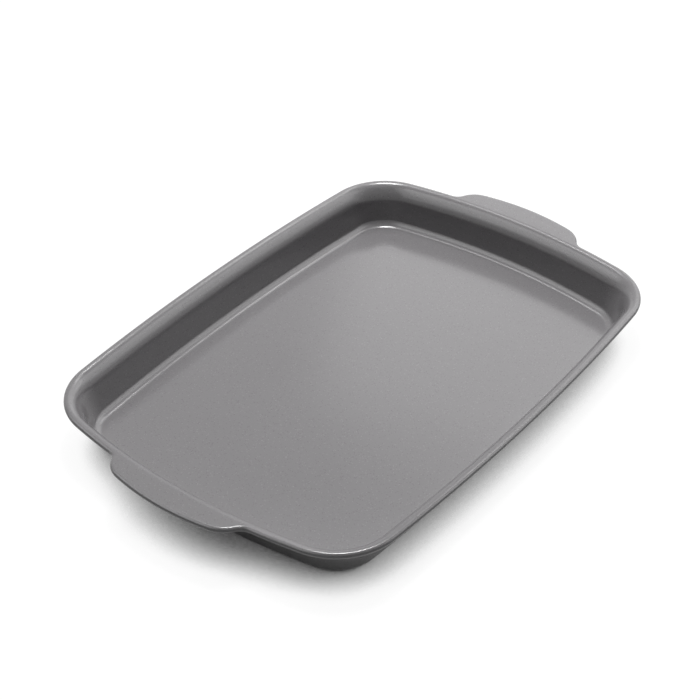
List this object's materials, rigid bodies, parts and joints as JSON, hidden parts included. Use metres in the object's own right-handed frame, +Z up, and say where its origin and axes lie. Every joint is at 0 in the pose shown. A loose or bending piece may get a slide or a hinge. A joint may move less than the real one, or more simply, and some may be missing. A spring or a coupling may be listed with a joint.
{
  "type": "quarter sheet pan",
  "caption": "Shallow coated steel baking pan with bowed sides, round corners, a rolled wired rim and a flat handle tab at each short end.",
  "frame": {"origin": "on the table, under the middle of the pan", "axes": "+X along the long sides towards one handle, +Y across the pan, +Z up"},
  "size_m": [0.3614, 0.2374, 0.0289],
  "materials": {
    "coating": "semi-gloss warm grey non-stick coating with a fine speckle",
    "wire": "drawn steel wire"
  },
  "bodies": {
    "root": {"pan_body": "coating", "rim_wire": "wire"}
  },
  "joints": []
}
